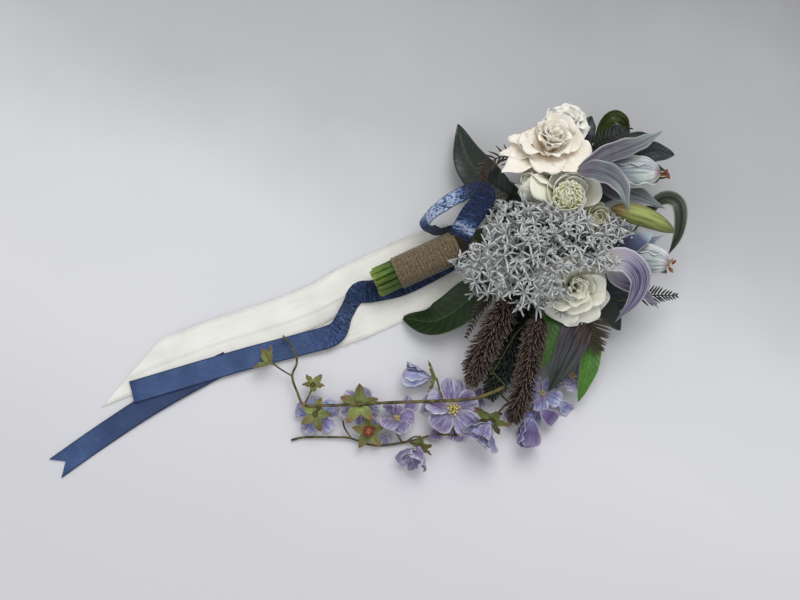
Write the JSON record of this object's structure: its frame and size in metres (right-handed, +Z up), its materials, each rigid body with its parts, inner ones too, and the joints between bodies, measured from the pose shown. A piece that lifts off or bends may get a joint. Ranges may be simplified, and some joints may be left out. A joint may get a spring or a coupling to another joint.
{
  "type": "hand-tied bridal bouquet",
  "caption": "Hand-tied bridal bouquet lying on its side: roses, lilies, filler, fern fronds and a trailing blossom vine, bound in twine with long velvet and chiffon ribbons.",
  "frame": {"origin": "middle of the footprint on the surface that the bouquet lies on", "axes": "+X along the length from the ribbon ends to the blooms, +Z up, +Y away from the viewer of the picture"},
  "size_m": [0.689, 0.4038, 0.1297],
  "materials": {
    "cream": "soft cream petals with a peach blush",
    "ivory": "soft white petals, greenish at the heart",
    "pistachio": "small greenish white petals",
    "lilac": "satin lilac grey petals with white edges and dark veins",
    "stamen": "matt filaments with red and yellow heads",
    "olive_leaf": "olive green with brown, satin",
    "dark_leaf": "dark green, nearly black, waxy",
    "plum_leaf": "purple grey with a dark midrib",
    "teal_leaf": "dark teal green, waxy",
    "green_leaf": "deep green, waxy",
    "black_fern": "brown black, dry",
    "bronze_fern": "brown, dry",
    "twine": "rough jute twine",
    "chiffon": "thin ivory chiffon with frayed edges",
    "velvet": "crushed velvet ribbon, dull sheen",
    "silver": "downy silver grey",
    "blossom": "blue violet with white edges and purple veins",
    "vine": "olive brown, woody",
    "berry": "red, satin",
    "stem": "fresh green cut stems, satin"
  },
  "bodies": {
    "root": {"rose_cream": "cream", "bloom_ruffled": "ivory", "bud_white": "ivory", "ranunculus_guard": "ivory", "ranunculus_heart": "pistachio", "bloom_pistachio": "pistachio", "rose_white": "ivory", "lily_upper_petals": "lilac", "lily_upper_stamens": "stamen", "lily_lower_petals": "lilac", "lily_lower_stamens": "stamen", "lily_bud": "olive_leaf", "leaf_dark_left": "dark_leaf", "leaf_plum_top": "plum_leaf", "leaf_olive_top": "olive_leaf", "leaf_teal_right": "teal_leaf", "leaf_strap": "plum_leaf", "leaf_green_left": "green_leaf", "leaf_green_low": "green_leaf", "leaf_plum_low": "plum_leaf", "leaf_green_right": "green_leaf", "leaf_dark_low": "dark_leaf", "leaf_under_left": "teal_leaf", "leaf_under_right": "teal_leaf", "leaf_under_middle": "teal_leaf", "leaf_under_low": "teal_leaf", "leaf_under_front": "teal_leaf", "fern_dark_top": "black_fern", "fern_bronze_left": "bronze_fern", "fern_dark_right": "black_fern", "fern_bronze_low": "bronze_fern", "fern_bronze_front": "bronze_fern", "brush_left": "bronze_fern", "brush_dark": "black_fern", "brush_right": "bronze_fern", "twine_binding": "twine", "chiffon_lower": "chiffon", "chiffon_upper": "chiffon", "velvet_tail_lower": "velvet", "velvet_tail_upper": "velvet", "velvet_loop": "velvet", "filler_spray_1": "silver", "filler_spray_2": "silver", "filler_spray_3": "silver", "filler_spray_4": "silver", "filler_spray_5": "silver", "blossom_wide": "blossom", "blossom_half_open": "blossom", "blossom_far_left": "blossom", "blossom_left": "blossom", "blossom_middle": "blossom", "blossom_low": "blossom", "blossom_hanging": "blossom", "blossom_dark": "blossom", "blossom_blue": "blossom", "blossom_right": "blossom", "vine_upper": "vine", "vine_lower": "vine", "berry": "berry", "stems": "stem"}
  },
  "joints": []
}
